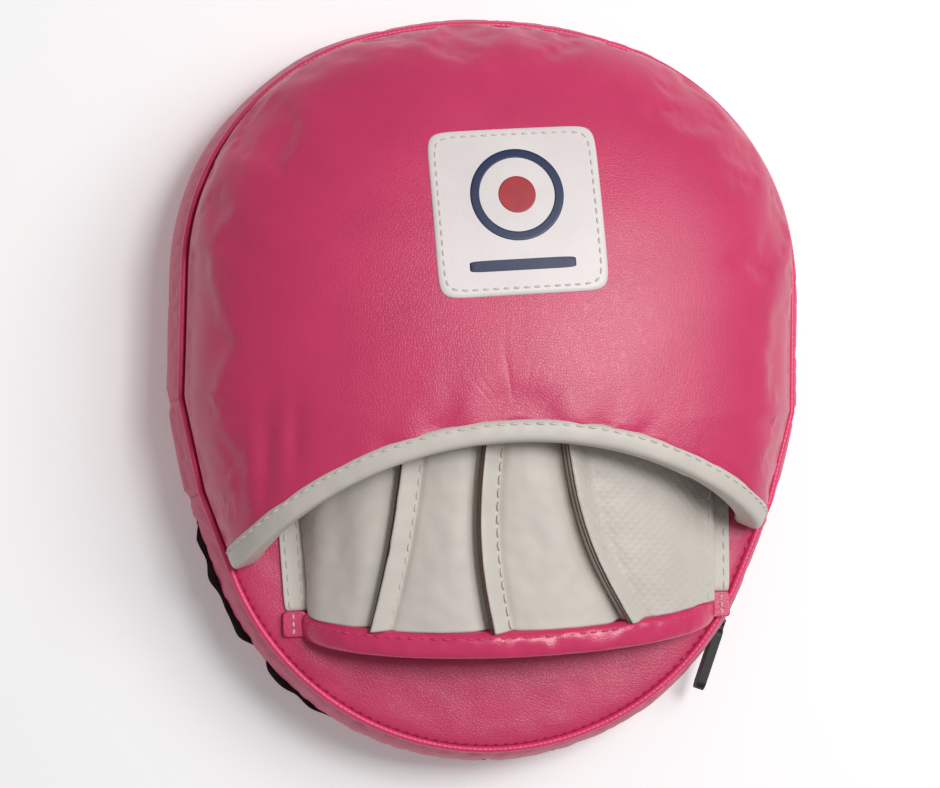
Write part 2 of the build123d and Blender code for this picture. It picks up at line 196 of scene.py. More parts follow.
def embossed_leather(name, colour, grain, roughness, depth):
    """Coated split leather embossed with a soft pebble grain, whose fine cells break up the gloss."""
    material, tree, shader, place = new_material(name, {"IOR": 1.5, "Coat Weight": 0.06, "Coat Roughness": 0.3})
    mottled(tree, shader, place, colour, 22 * MM, 0.055, roughness, 0.05)
    cells = add_node(
        tree,
        "ShaderNodeTexVoronoi",
        {"feature": "DISTANCE_TO_EDGE"},
        {"Scale": 1 / grain, "Randomness": 0.9},
        {"Vector": (place, "Object")},
    )
    pebble = add_node(
        tree,
        "ShaderNodeMapRange",
        {"interpolation_type": "SMOOTHSTEP"},
        {"From Max": 0.22},
        {"Value": (cells, "Distance")},
    )
    creases = add_node(
        tree,
        "ShaderNodeTexNoise",
        values={"Scale": 1 / (5 * MM), "Detail": 5.0, "Roughness": 0.6},
        links={"Vector": (place, "Object")},
    )
    broad = add_node(
        tree,
        "ShaderNodeBump",
        values={"Strength": 0.1, "Distance": 0.15 * MM},
        links={"Height": (creases, "Fac")},
    )
    fine = add_node(
        tree,
        "ShaderNodeBump",
        values={"Strength": 0.32, "Distance": depth * MM},
        links={"Height": (pebble, "Result"), "Normal": (broad, "Normal")},
    )
    tree.links.new(fine.outputs["Normal"], shader.inputs["Normal"])
    return material


def dotted_leather(name, colour, pitch):
    """Coated leather pressed with diagonal rows of small dots, which read as a faint regular texture."""
    material, tree, shader, place = new_material(name, {"IOR": 1.5, "Coat Weight": 0.12, "Coat Roughness": 0.3})
    mottled(tree, shader, place, colour, 22 * MM, 0.04, 0.46, 0.05)
    turned = add_node(
        tree,
        "ShaderNodeMapping",
        values={"Rotation": (0.0, 0.0, radians(45))},
        links={"Vector": (place, "Object")},
    )
    dots = add_node(
        tree,
        "ShaderNodeTexVoronoi",
        {"feature": "F1", "voronoi_dimensions": "2D"},
        {"Scale": 1 / pitch, "Randomness": 0.0},
        {"Vector": (turned, "Vector")},
    )
    rise = add_node(
        tree,
        "ShaderNodeMapRange",
        {"interpolation_type": "SMOOTHSTEP"},
        {"From Min": 0.22, "From Max": 0.4, "To Min": 1.0, "To Max": 0.0},
        {"Value": (dots, "Distance")},
    )
    bump = add_node(
        tree,
        "ShaderNodeBump",
        values={"Strength": 0.5, "Distance": 0.15 * MM},
        links={"Height": (rise, "Result")},
    )
    tree.links.new(bump.outputs["Normal"], shader.inputs["Normal"])
    return material


def woven(name, colour, thread, roughness=0.8):
    """Woven polyester: two sets of crossing threads, matt with a dry edge sheen."""
    material, tree, shader, place = new_material(name, {"Sheen Weight": 0.15, "Sheen Roughness": 0.5})
    mottled(tree, shader, place, colour, 8 * MM, 0.15, roughness, 0.06)
    # A wave of scale 1 has a band every 2 pi / 20 units, so each band here is about six threads wide: one thread
    # alone would be too fine to show.
    both = add_node(tree, "ShaderNodeMath", {"operation": "MULTIPLY"})
    for socket, direction in enumerate(("Z", "DIAGONAL")):
        wave = add_node(
            tree,
            "ShaderNodeTexWave",
            {"wave_type": "BANDS", "bands_direction": direction},
            {"Scale": 1 / (20 * thread), "Distortion": 0.4},
            {"Vector": (place, "Object")},
        )
        tree.links.new(wave.outputs["Fac"], both.inputs[socket])
    bump = add_node(
        tree, "ShaderNodeBump", values={"Strength": 0.7, "Distance": 0.25 * MM}, links={"Height": (both, "Value")}
    )
    tree.links.new(bump.outputs["Normal"], shader.inputs["Normal"])
    return material


def fine_surface(name, colour, roughness, pattern, depth, values=None):
    """A surface with one fine noise of a size in metres: thread twist, cast metal, rubber skin or cut leather."""
    material, tree, shader, place = new_material(name, values or {})
    mottled(tree, shader, place, colour, 12 * pattern, 0.08, roughness, 0.05)
    noise_node = add_node(
        tree,
        "ShaderNodeTexNoise",
        values={"Scale": 1 / pattern, "Detail": 3.0},
        links={"Vector": (place, "Object")},
    )
    bump = add_node(
        tree, "ShaderNodeBump", values={"Strength": 0.5, "Distance": depth}, links={"Height": (noise_node, "Fac")}
    )
    tree.links.new(bump.outputs["Normal"], shader.inputs["Normal"])
    return material


MATERIALS = {}


def make_materials():
    """Every finish of the mitt, by the name that the pieces use."""
    sizes, colours = bpy.context.scene.mitt_sizes, bpy.context.scene.mitt_colours
    pink, light, black = list(colours.pink), list(colours.light), list(colours.black)
    metal = {"Metallic": 1.0}
    MATERIALS.update(
        # Embossed under heat: even satin pebbles, and a soft round highlight on the hood.
        pink=embossed_leather("pink_pu_leather_embossed", pink, sizes.grain, 0.37, 0.1),
        # Pulled tight over the foam: the same grain, a little duller.
        wall=embossed_leather("pink_pu_leather_stretched", pink, sizes.grain, 0.46, 0.1),
        # Rolled over a cord: the grain opens, and the colour is painted 1.3 times lighter than the leather, a
        # painted highlight along the crest.
        piping=embossed_leather("pink_pu_piping_rolled", shade(pink, 1.3), sizes.grain, 0.36, 0.06),
        # Folded and pressed: the glossiest leather, with one long bright line.
        roll=embossed_leather("pink_pu_binding_folded", shade(pink, 1.05), sizes.grain, 0.27, 0.06),
        # Rolled smooth: soft and nearly matt.
        light=embossed_leather("grey_pu_leather_smooth", light, 0.7 * sizes.grain, 0.5, 0.06),
        # Pressed with dots: a faint diagonal pattern.
        dotted=dotted_leather("grey_pu_leather_dot_pressed", shade(light, 0.96), 2.3 * MM),
        # Folded over the mouth's edge: slightly glossier than the glove.
        binding=embossed_leather("grey_pu_binding_folded", shade(light, 0.95), 0.7 * sizes.grain, 0.45, 0.06),
        # Pressed flat: clean and smooth.
        white=embossed_leather("white_pu_patch_pressed", list(colours.white), 0.8 * sizes.grain, 0.42, 0.05),
        # Woven polyester: dry and matt, grey for the lining and near black for the zip's tapes.
        lining=woven("polyester_lining_woven", shade(light, 0.45), 0.5 * MM),
        tape=woven("polyester_zip_tape_woven", black, 0.5 * MM, 0.7),
        # Cut with a knife: the brown fibres of the split show, with no gloss.
        raw=fine_surface("split_leather_cut_edge", list(colours.raw), 0.85, 0.5 * MM, 0.2 * MM),
        # Twisted polyester: dull threads, light, bright pink and deep pink; the deep pink, half as bright as the
        # leather, is thread colour plus painted shade of the stitch holes along the closing seam.
        thread=fine_surface("polyester_thread_twisted", shade(light, 1.05), 0.6, 0.3 * MM, 0.1 * MM),
        pink_thread=fine_surface("pink_thread_twisted", shade(pink, 1.2), 0.6, 0.3 * MM, 0.1 * MM),
        dark_thread=fine_surface("dark_pink_thread_and_hole_shade", shade(pink, 0.5), 0.6, 0.3 * MM, 0.1 * MM),
        # Screen-printed ink: even colour with a slight shine.
        navy=fine_surface("navy_screen_print", list(colours.navy), 0.45, 0.4 * MM, 0.05 * MM),
        red=fine_surface("red_screen_print", list(colours.red), 0.45, 0.4 * MM, 0.05 * MM),
        # Extruded nylon: round black wire with small bright lines.
        coil=fine_surface("nylon_coil_extruded", black, 0.4, 0.5 * MM, 0.05 * MM),
        # Die-cast and plated: pale metal with blurred reflections.
        nickel=fine_surface("zinc_die_cast_nickel_plated", linear("B9B6B0"), 0.3, 0.6 * MM, 0.05 * MM, metal),
        # Drawn wire with a black plating: dark metal.
        gunmetal=fine_surface("steel_wire_black_nickel", linear("4B4A4E"), 0.32, 0.6 * MM, 0.05 * MM, metal),
        # Moulded rubber: black with a dull skin.
        rubber=fine_surface("pvc_rubber_moulded", linear("1B1B1D"), 0.55, 0.5 * MM, 0.08 * MM),
    )


# ================================================================ surfaces of the mitt
def smooth_noise(points, size, seed):
    """Soft noise from -1 to 1 at points, with clouds of a size in metres; the same on every run."""
    flat = points.reshape(-1, 3)
    shift = Vector((seed * 7.31, seed * 3.17, seed * 5.77))
    values = [noise.noise(Vector(p) / size + shift) for p in flat]
    return np.array(values).reshape(points.shape[:-1])


def dense_outline():
    """The back panel's edge as evenly spaced points that start at the heel, its normals and its length."""
    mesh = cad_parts["back_panel"].data
    points = np.array([v.co[:2] for v in mesh.vertices if v.co.z > BACK_Z - 1e-5])
    points = points[np.argsort(np.arctan2(points[:, 0], -points[:, 1]) % TURN)]
    loop = np.vstack([points, points[:1]])
    reach = np.concatenate([[0], np.cumsum(np.hypot(*np.diff(loop, axis=0).T))])
    even = np.linspace(0, reach[-1], 2401)[:-1]
    line = np.stack([np.interp(even, reach, loop[:, axis]) for axis in (0, 1)], axis=1)
    along = np.roll(line, -6, axis=0) - np.roll(line, 6, axis=0)
    along /= np.linalg.norm(along, axis=1)[:, None]
    return line, np.stack([along[:, 1], -along[:, 0]], axis=1), reach[-1]


EDGE, EDGE_NORMAL, EDGE_LENGTH = dense_outline()
EDGE_SHARES = np.arange(len(EDGE)) / len(EDGE)


def edge_share(x_sign, y):
    """Share round the outline, from the heel, of the point at height y on one side."""
    side = EDGE[:, 0] * x_sign > 0
    return EDGE_SHARES[side][np.argmin(np.abs(EDGE[side, 1] - y))]


def edge_at(share, grow, z):
    """Points at shares round the outline, moved out of the piping line by grow, at heights z."""
    share, grow, z = np.broadcast_arrays(share, grow, z)
    values = [np.interp(share % 1.0, EDGE_SHARES, column, period=1.0) for column in (*EDGE.T, *EDGE_NORMAL.T)]
    out = grow + PIPING_RADIUS
    return np.stack([values[0] + out * values[2], values[1] + out * values[3], z], axis=-1)


def radius_from(centre, angle):
    """Distance from a centre to the outline at angles."""
    from_centre = EDGE - centre
    angles = np.arctan2(from_centre[:, 1], from_centre[:, 0])
    order = np.argsort(angles)
    return np.interp(angle, angles[order], np.hypot(*from_centre.T)[order], period=TURN)


def wall_grow(z):
    """How far the stuffed side wall stands out of the piping line at height z."""
    share = (z - WALL_LOW) / (WALL_HIGH - WALL_LOW)
    return WALL_BULGE * (1 - (2 * share - 1) ** 2)


def dome_raw(angle, fall):
    """The hood's surface at an angle round its centre and a fall from 0, its top, to a quarter turn, its foot."""
    share = np.sin(fall) ** (2 / DOME_POWER)
    rise = np.clip(np.cos(fall), 0, 1) ** (2 / DOME_POWER)
    reach = share * radius_from(DOME_CENTRE, angle)
    x = DOME_CENTRE[0] + reach * np.cos(angle)
    y = DOME_CENTRE[1] + reach * np.sin(angle)
    return np.stack([x, y, BACK_Z + DOME_HEIGHT * rise], axis=-1)


def dome(angle, fall, lift=0.0):
    """The hood's surface, lifted along its normal."""
    angle, fall, lift = np.broadcast_arrays(angle, fall, lift)
    step = 4e-3
    inner = np.clip(fall, 2 * step, pi / 2 - 2 * step)
    around = dome_raw(angle + step, inner) - dome_raw(angle - step, inner)
    down = dome_raw(angle, inner + step) - dome_raw(angle, inner - step)
    normal = np.cross(down, around)
    normal /= np.maximum(np.linalg.norm(normal, axis=-1, keepdims=True), 1e-12)
    return dome_raw(angle, fall) + lift[..., None] * normal


def dome_over(x, y, lift=0.0):
    """The hood's surface over points of the pad."""
    dx, dy = x - DOME_CENTRE[0], y - DOME_CENTRE[1]
    angle = np.arctan2(dy, dx)
    share = np.clip(np.hypot(dx, dy) / radius_from(DOME_CENTRE, angle), 1e-3, 1.0)
    return dome(angle, np.arcsin(share ** (DOME_POWER / 2)), lift)


def mouth_share(angle, radius):
    """Where a circle round the mouth's centre crosses each ray from the dome's centre, as a width share."""
    offset = DOME_CENTRE - MOUTH_CENTRE
    along = offset[0] * np.cos(angle) + offset[1] * np.sin(angle)
    reach = -along + np.sqrt(along**2 + radius**2 - offset @ offset)
    return reach / radius_from(DOME_CENTRE, angle)


def glove(share, length, lift=0.0):
    """The glove's surface: share runs from the left foot, 0, to the right, 1; length from the wrist, 0, past the
    knuckles, 1, to the tip, 2."""
    share, length, lift = np.broadcast_arrays(share, length, lift)
    stations = (0, 1, 2)
    half = np.interp(length, stations, GLOVE_HALF) + lift
    height = np.interp(length, stations, GLOVE_HEIGHT) + lift
    angle = pi * (1 - share)
    lean = WRIST_LEAN * np.clip(1 - length, 0, 1)
    rise = height * np.sin(angle)
    u = half * np.cos(angle)
    v = np.interp(length, stations, GLOVE_REACH) - rise * np.sin(lean)
    x, y = hand_to_pad(u, v)
    return np.stack([x, y, BACK_Z + rise * np.cos(lean)], axis=-1)


def seam_share(number, length):
    """Share across the glove of finger seam 1, 2 or 3; 0 and 4 are the glove's feet."""
    if number in (0, 4):
        return np.full_like(length, number / 4)
    wrist, knuckle = WRIST_SEAMS[number - 1], KNUCKLE_SEAMS[number - 1]
    across = np.interp(length, (0, 1, 2), (wrist, knuckle, knuckle))
    sway = SEAM_SWAY[number - 1] * np.sin(pi * np.clip(length, 0, 1))
    return 1 - np.arccos((across + sway) / np.interp(length, (0, 1, 2), GLOVE_HALF)) / pi


# ================================================================ mesh makers
def grid_faces(rows, columns, wrap_rows=False, wrap_columns=False, start=0):
    """Quads of a grid of points, row by row."""
    faces = []
    for r in range(rows if wrap_rows else rows - 1):
        for c in range(columns if wrap_columns else columns - 1):
            r2, c2 = (r + 1) % rows, (c + 1) % columns
            face = (r * columns + c, r * columns + c2, r2 * columns + c2, r2 * columns + c)
            faces.append(tuple(start + i for i in face))
    return faces


def new_piece(name, points, faces, material, body="pad", slot=None, replaces=()):
    """A smooth mesh piece that rides on a body, with its finish and the solids it stands for; its slot argument
    is not used.
    """
    mesh = bpy.data.meshes.new(name)
    mesh.from_pydata([tuple(p) for p in np.asarray(points).reshape(-1, 3)], [], faces)
    shell = bmesh.new()
    shell.from_mesh(mesh)
    bmesh.ops.recalc_face_normals(shell, faces=shell.faces)
    shell.to_mesh(mesh)
    shell.free()
    mesh.shade_smooth()
    piece = bpy.data.objects.new(name, mesh)
    bpy.context.scene.collection.objects.link(piece)
    mesh.materials.append(MATERIALS[material])
    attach(piece, body)
    if replaces:
        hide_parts(*replaces)
    return piece


SWELL_FRAMES = 20
FILLING_PRESSURE = 4.0


def stuffed(outer, inner, cap, coarse=2):
    """The outer grid of a sewn leather panel, swollen by its filling: cloth under pressure from inside, held
    along its four seams and cut a little large, that moves no further than cap."""
    grid, core = outer[::coarse, ::coarse], inner[::coarse, ::coarse]
    rows, columns = grid.shape[:2]
    faces = grid_faces(rows, columns)
    turn = np.cross(grid[1:, :-1] - grid[:-1, :-1], grid[:-1, 1:] - grid[:-1, :-1])
    if (turn * (grid - core)[:-1, :-1]).sum() > 0:
        faces = [face[::-1] for face in faces]
    mesh = bpy.data.meshes.new("stuffing")
    mesh.from_pydata(grid.reshape(-1, 3).tolist(), [], faces)
    panel = bpy.data.objects.new("stuffing", mesh)
    scene = bpy.context.scene
    scene.collection.objects.link(panel)
    seam = panel.vertex_groups.new(name="seam")
    numbers = np.arange(rows * columns).reshape(rows, columns)
    held = [part.ravel() for part in (numbers[:2], numbers[-2:], numbers[:, 0], numbers[:, -1])]
    seam.add(np.concatenate(held).tolist(), 1.0, "REPLACE")
    cloth = panel.modifiers.new("Cloth", "CLOTH")
    cloth.settings.vertex_group_mass = "seam"
    cloth.settings.use_pressure = True
    cloth.settings.uniform_pressure_force = FILLING_PRESSURE
    cloth.settings.shrink_min = -0.02
    cloth.settings.bending_stiffness = 0.3
    cloth.settings.effector_weights.gravity = 0.0
    cloth.point_cache.frame_start, cloth.point_cache.frame_end = 1, SWELL_FRAMES
    for number in range(1, SWELL_FRAMES + 1):
        scene.frame_set(number)
    swollen = panel.evaluated_get(bpy.context.evaluated_depsgraph_get()).to_mesh()
    points = np.empty(rows * columns * 3)
    swollen.vertices.foreach_get("co", points)
    moved = points.reshape(grid.shape) - grid
    far = np.linalg.norm(moved, axis=-1, keepdims=True)
    moved *= cap * np.tanh(far / cap) / np.maximum(far, 1e-9)
    bpy.data.objects.remove(panel)
    scene.frame_set(1)
    down, across = (np.arange(n) / coarse for n in outer.shape[:2])
    wide = [np.array([np.interp(across, np.arange(columns), row) for row in moved[..., k]]) for k in range(3)]
    tall = [[np.interp(down, np.arange(rows), column) for column in part.T] for part in wide]
    return outer + np.array(tall).transpose(2, 1, 0)


def closed_sheet(name, outer, inner, material, **words):
    """A closed shell between two grids of the same size: its outside, its inside and its four edges."""
    rows, columns = outer.shape[:2]
    points = np.concatenate([outer.reshape(-1, 3), inner.reshape(-1, 3)])
    count = rows * columns
    faces = grid_faces(rows, columns) + grid_faces(rows, columns, start=count)
    numbers = np.arange(count).reshape(rows, columns)
    for rim in (numbers[0], numbers[-1], numbers[:, 0], numbers[:, -1]):
        faces += [(a, a + count, b + count, b) for a, b in zip(rim.tolist(), rim[1:].tolist())]
    return new_piece(name, points, faces, material, **words)


def swept(name, rings, material, closed_path=False, **words):
    """A tube through rings of points, with its ends capped where the path is open."""
    rows, columns = rings.shape[:2]
    points = rings.reshape(-1, 3)
    faces = grid_faces(rows, columns, wrap_rows=closed_path, wrap_columns=True)
    if not closed_path:
        points = np.concatenate([points, rings[0].mean(0)[None], rings[-1].mean(0)[None]])
        for end, middle in ((0, rows * columns), (rows - 1, rows * columns + 1)):
            faces += [(end * columns + c, end * columns + (c + 1) % columns, middle) for c in range(columns)]
    return new_piece(name, points, faces, material, **words)


def path_frames(path, up, closed=False):
    """Unit side and up directions along a path; up gives the rough upward direction at each point."""
    if closed:
        along = np.roll(path, -1, axis=0) - np.roll(path, 1, axis=0)
    else:
        along = np.gradient(path, axis=0)
    along /= np.maximum(np.linalg.norm(along, axis=1)[:, None], 1e-12)
    side = np.cross(along, up)
    side /= np.maximum(np.linalg.norm(side, axis=1)[:, None], 1e-12)
    return side, np.cross(side, along)


def tube_rings(path, up, radius, closed=False, sides=8, flat=1.0):
    """Rings of a tube along a path; flat squeezes it along up."""
    side, top = path_frames(path, up, closed)
    angle = np.arange(sides) * TURN / sides
    radius = np.broadcast_to(radius, len(path))[:, None, None]
    return path[:, None] + radius * (
        np.cos(angle)[None, :, None] * side[:, None] + flat * np.sin(angle)[None, :, None] * top[:, None]
    )


def polar_patch(name, place, rim, height, material, inner=0.0, rings=14, segments=96, base=0.0, **words):
    """A soft-edged flat piece: rim gives its edge at an angle, place puts x, y and a height into the mitt."""
    angle = np.arange(segments) * TURN / segments
    rim_x, rim_y = rim(angle)
    shares = inner + (1 - inner) * (1 - (1 - np.linspace(0, 1, rings)) ** 1.8)
    if inner == 0:
        shares[0] = 0.01
    edge = np.clip((1 - shares) / 0.06, 0, 1)
    heights = base + (height - base) * (0.35 + 0.65 * np.sqrt(1 - (1 - edge) ** 2))
    rows = [place(share * rim_x, share * rim_y, np.full(segments, h)) for share, h in zip(shares, heights)]
    low = [place(share * rim_x, share * rim_y, np.full(segments, base)) for share in (shares[-1], shares[0])]
    points = np.stack(rows + low)
    count = len(points)
    faces = grid_faces(count, segments, wrap_rows=inner > 0, wrap_columns=True)
    if inner == 0:
        faces += [tuple(range(segments))[::-1], tuple((count - 1) * segments + i for i in range(segments))]
    return new_piece(name, points, faces, material, **words)


def rounded_box(half_x, half_y, power=8.0):
    """The edge of a rectangle with rounded corners, as a superellipse."""

    def rim(angle):
        c, s = np.cos(angle), np.sin(angle)
        reach = (np.abs(c) ** power + np.abs(s) ** power) ** (-1 / power)
        return half_x * reach * c, half_y * reach * s

    return rim


def stitches(name, path, up, material, pitch=None, length=0.7, radius=None, closed=False, sink=0.5, **words):
    """A row of stitches along a path: short arched threads whose ends dip into the leather, in one mesh."""
    sizes = bpy.context.scene.mitt_sizes
    pitch = pitch or sizes.stitch_pitch
    radius = radius or sizes.thread
    loop = np.vstack([path, path[:1]]) if closed else path
    ups = np.vstack([up, up[:1]]) if closed else up
    reach = np.concatenate([[0], np.cumsum(np.linalg.norm(np.diff(loop, axis=0), axis=1))])
    count = int(reach[-1] / pitch)
    spacing = reach[-1] / count
    steps, sides = 7, 6
    bend = np.linspace(-1, 1, steps)
    points, faces = [], []
    for k in range(count):
        where = spacing * (k + 0.5) + 0.5 * length * spacing * bend
        line = np.stack([np.interp(where, reach, loop[:, axis]) for axis in range(3)], axis=1)
        lifts = np.stack([np.interp(where, reach, ups[:, axis]) for axis in range(3)], axis=1)
        lifts /= np.linalg.norm(lifts, axis=1)[:, None]
        line = line + lifts * (radius * (0.55 - (1 + sink) * bend**4))[:, None]
        thickness = radius * np.sqrt(1 - 0.75 * bend**2)
        start = k * steps * sides
        points.append(tube_rings(line, lifts, thickness, sides=sides).reshape(-1, 3))
        faces += grid_faces(steps, sides, wrap_columns=True, start=start)
        faces.append(tuple(start + c for c in range(sides)))
        faces.append(tuple(start + (steps - 1) * sides + c for c in range(sides)))
    return new_piece(name, np.concatenate(points), faces, material, **words)


def surface_path(surface, step=0.3 * MM):
    """Points and normals of a line on a surface; surface(lift) gives the line at a lift."""
    path = surface(0.0)
    up = surface(step) - path
    return path, up / np.maximum(np.linalg.norm(up, axis=1)[:, None], 1e-12)


# ================================================================ the pieces
def build_hood():
    """The padded hood, its woven lining, and the leather's creases and puckers."""
    around = np.linspace(-0.45, pi + 0.45, 1201)
    inside = mouth_share(around, MOUTH_RADIUS + BINDING_WIDTH / 2) < 0.998
    angles = np.linspace(around[inside].min(), around[inside].max(), 260)
    start = np.clip(mouth_share(angles, MOUTH_RADIUS + BINDING_WIDTH / 2), 0, 0.999)
    first = np.arcsin(start ** (DOME_POWER / 2))
    ramp = np.linspace(0, 1, 76)[:, None]
    falls = first + (pi / 2 - first) * ramp
    angle = np.broadcast_to(angles, falls.shape)
    surface = dome(angle, falls)
    from_mouth = np.hypot(surface[..., 0] - MOUTH_CENTRE[0], surface[..., 1] - MOUTH_CENTRE[1]) - MOUTH_RADIUS
    from_foot = surface[..., 2] - BACK_Z
    stretched = surface * np.array((1.0, 0.35, 0.35))
    creases = (
        0.7 * MM * smooth_noise(surface, 55 * MM, 1)
        + 0.2 * MM * smooth_noise(surface, 19 * MM, 2)
        - 0.4 * MM * np.clip(smooth_noise(stretched, 5 * MM, 3), 0, 1) * np.exp(-from_mouth / (16 * MM))
        - 0.35 * MM * np.clip(smooth_noise(surface, 8 * MM, 4), 0, 1) * np.exp(-from_foot / (7 * MM))
    )
    dents = 0
    creased = ((-74, -28, 3.2, 16, 1.4), (-65, -21, 2.6, 12, 0.9), (-83, -35, 3.0, 13, 1.0))
    for x, y, width, length, depth in creased:
        dx, dy = surface[..., 0] / MM - x, surface[..., 1] / MM - y
        dents = dents + depth * MM * np.exp(-((dx / width) ** 2) - (dy / length) ** 2)
    settle = np.clip(ramp * 12, 0, 1) * np.clip((1 - ramp) * 12, 0, 1)
    foam_side = dome(angle, falls, -HOOD_THICKNESS)
    outer = dome(angle, falls, (creases - dents - 0.6 * MM) * settle)
    hood = closed_sheet(
        "hood_pad",
        stuffed(outer, foam_side, 1.2 * MM),
        foam_side,
        "pink",
        slot="pink_leather",
        replaces=("hood_skin", "hood_foam"),
    )
    inside = dome(angle, falls, -HOOD_THICKNESS - LINING_THICKNESS + 0.25 * MM * smooth_noise(surface, 9 * MM, 5))
    lining = closed_sheet(
        "hood_inner_lining",
        foam_side,
        inside,
        "lining",
        slot="lining",
        replaces=("hood_lining",),
    )


def mouth_line(radius, lift, count=420):
    """A line along the hood's mouth at a radius round the mouth's centre, on the hood lifted by lift."""
    across = np.linspace(-0.85, 0.85, 3001)
    x = MOUTH_CENTRE[0] + radius * np.sin(across)
    y = MOUTH_CENTRE[1] + radius * np.cos(across)
    angle = np.arctan2(y - DOME_CENTRE[1], x - DOME_CENTRE[0])
    inside = np.hypot(x - DOME_CENTRE[0], y - DOME_CENTRE[1]) / radius_from(DOME_CENTRE, angle) < 0.999
    turn = np.linspace(across[inside].min(), across[inside].max(), count)
    return dome_over(MOUTH_CENTRE[0] + radius * np.sin(turn), MOUTH_CENTRE[1] + radius * np.cos(turn), lift)


def build_hood_binding():
    """The folded grey binding round the hood's mouth, and its stitches."""
    middle = MOUTH_RADIUS + BINDING_WIDTH / 2
    loop = np.arange(28) * TURN / 28
    c, s = np.cos(loop), np.sin(loop)
    across = np.sign(c) * np.abs(c) ** 0.5 * BINDING_WIDTH / 2
    depth = np.sign(s) * np.abs(s) ** 0.45 * (HOOD_THICKNESS + LINING_THICKNESS + 1.4 * MM) / 2
    centre = -(HOOD_THICKNESS + LINING_THICKNESS) / 2
    rings = np.stack([mouth_line(middle + a, centre + d) for a, d in zip(across, depth)], axis=1)
    wave = smooth_noise(rings, 6 * MM, 6)[..., None] * np.array((0, 0, 0.22 * MM))
    swept("hood_mouth_binding", rings + wave, "binding", slot="light_leather", replaces=("hood_binding",))
    inset, rise = 1.9 * MM, 0.62 * MM
    path, up = surface_path(lambda lift: mouth_line(MOUTH_RADIUS + BINDING_WIDTH - inset, lift + rise))
    stitches("binding_stitches", path, up, "thread", slot="light_leather")


LABEL_CENTRE = np.array((3.2, 51.5)) * MM
LABEL_HALF = 27.0 * MM


def on_label(x, y, lift):
    """Places points of the label patch on the hood."""
    c, s = cos(HAND_TURN + radians(1.5)), sin(HAND_TURN + radians(1.5))
    return dome_over(LABEL_CENTRE[0] + x * c - y * s, LABEL_CENTRE[1] + x * s + y * c, lift + 0.3 * MM)


def build_label():
    """A plain white patch with a ring, a dot and a bar, sewn to the hood."""
    patch = rounded_box(LABEL_HALF, LABEL_HALF, 12)
    polar_patch(
        "hood_patch", on_label, patch, 1.2 * MM, "white", rings=30, segments=160, slot="white_leather",
        replaces=("hood_label",),
    )
    angle = np.linspace(0, TURN, 241)[:-1]
    x, y = rounded_box(LABEL_HALF - 2.2 * MM, LABEL_HALF - 2.2 * MM, 12)(angle)
    path, up = surface_path(lambda lift: on_label(x, y, lift + 1.1 * MM))
    stitches("patch_stitches", path, up, "thread", pitch=3.2 * MM, closed=True, slot="white_leather")
    ring_y = 5.0 * MM
    prints = (
        ("patch_ring", "navy", (0.0, ring_y), (15.0, 15.0), 2.0, 0.8),
        ("patch_dot", "red", (0.0, ring_y), (6.0, 6.0), 2.0, 0.0),
        ("patch_bar", "navy", (0.0, -17.5 * MM), (17.0, 1.8), 8.0, 0.0),
    )
    for name, material, (x0, y0), (half_x, half_y), power, inner in prints:
        polar_patch(
            name,
            lambda x, y, lift, x0=x0, y0=y0: on_label(x + x0, y + y0, lift),
            rounded_box(half_x * MM, half_y * MM, power),
            1.34 * MM,
            material,
            inner=inner,
            base=0.9 * MM,
            slot="white_leather",
        )


def build_glove():
    """Four glove panels with lapped finger seams: each seam's right-hand edge stands up and shows its raw cut."""
    sizes = bpy.context.scene.mitt_sizes
    lengths = np.concatenate([np.linspace(0, 1, 90), np.linspace(1, 2, 50)[1:]])[:, None]
    for number in range(4):
        left, right = seam_share(number, lengths), seam_share(number + 1, lengths)
        across = np.linspace(0, 1, 56)[None, :]
        share = left + (right - left) * across
        flat = glove(share, lengths)
        width = np.linalg.norm(np.diff(flat, axis=1), axis=-1).sum(1)[:, None]
        from_left, from_right = across * width, (1 - across) * width
        folds = smooth_noise(flat * np.array((1.0, 0.45, 1.0)), 13 * MM, 10 + number)
        lift = 1.3 * MM * np.sin(pi * across) + (1.8 if number == 0 else 0.8) * MM * folds
        lift += 0.25 * MM * smooth_noise(flat, 5 * MM, 20 + number)
        if number > 0:
            lift += sizes.fin * np.exp(-((from_left / (3.4 * MM)) ** 2))
            lift -= 0.7 * MM * np.exp(-(((from_left - 5.5 * MM) / (1.4 * MM)) ** 2))
        if number < 3:
            lift -= 2.6 * MM * np.exp(-((from_right / (4.2 * MM)) ** 2))
        else:
            lift += 2.6 * MM * np.exp(-(((from_right - 11 * MM) / (3.4 * MM)) ** 2))
            lift -= 1.8 * MM * np.exp(-(((from_right - 4.5 * MM) / (2.2 * MM)) ** 2))
            pleat = 1 - 13.5 * MM / width[:, 0]
            path, up = surface_path(
                lambda lift: glove(left[:, 0] + (1 - left[:, 0]) * pleat, lengths[:, 0], lift + 2.6 * MM)
            )
            stitches("glove_pleat_stitches", path, up, "thread", slot="light_leather")
        flange = 7.0 * MM * np.exp(-((from_left / (0.6 * MM)) ** 2)) * (number > 0)
        panel_names = ("glove_panel_outer", "glove_panel_second", "glove_panel_third", "glove_panel_index")
        closed_sheet(
            panel_names[number],
            glove(share, lengths, lift),
            glove(share, lengths, lift - 1.1 * MM - flange),
            "dotted" if number == 3 else "light",
            slot="light_leather",
            replaces=(f"stall_panel_{number + 1}",),
        )
        if number == 0:
            continue
        line = lengths[:, 0]
        along = seam_share(number, line)
        for layer, (offset, drop) in enumerate(((0.0, 0.15), (-0.004, 0.7))):
            path, up = surface_path(
                lambda lift, o=offset, d=drop: glove(along + o, line, lift + sizes.fin - d * MM)
            )
            swept(
                f"finger_seam_{number}_layer_{layer + 1}",
                tube_rings(path, up, 0.26 * MM, flat=1.3),
                "raw",
                slot="light_leather",
            )
        path, up = surface_path(lambda lift: glove(along + 0.026, line, lift + 0.45 * MM))
        stitches(f"finger_seam_{number}_stitches", path, up, "thread", slot="light_leather")


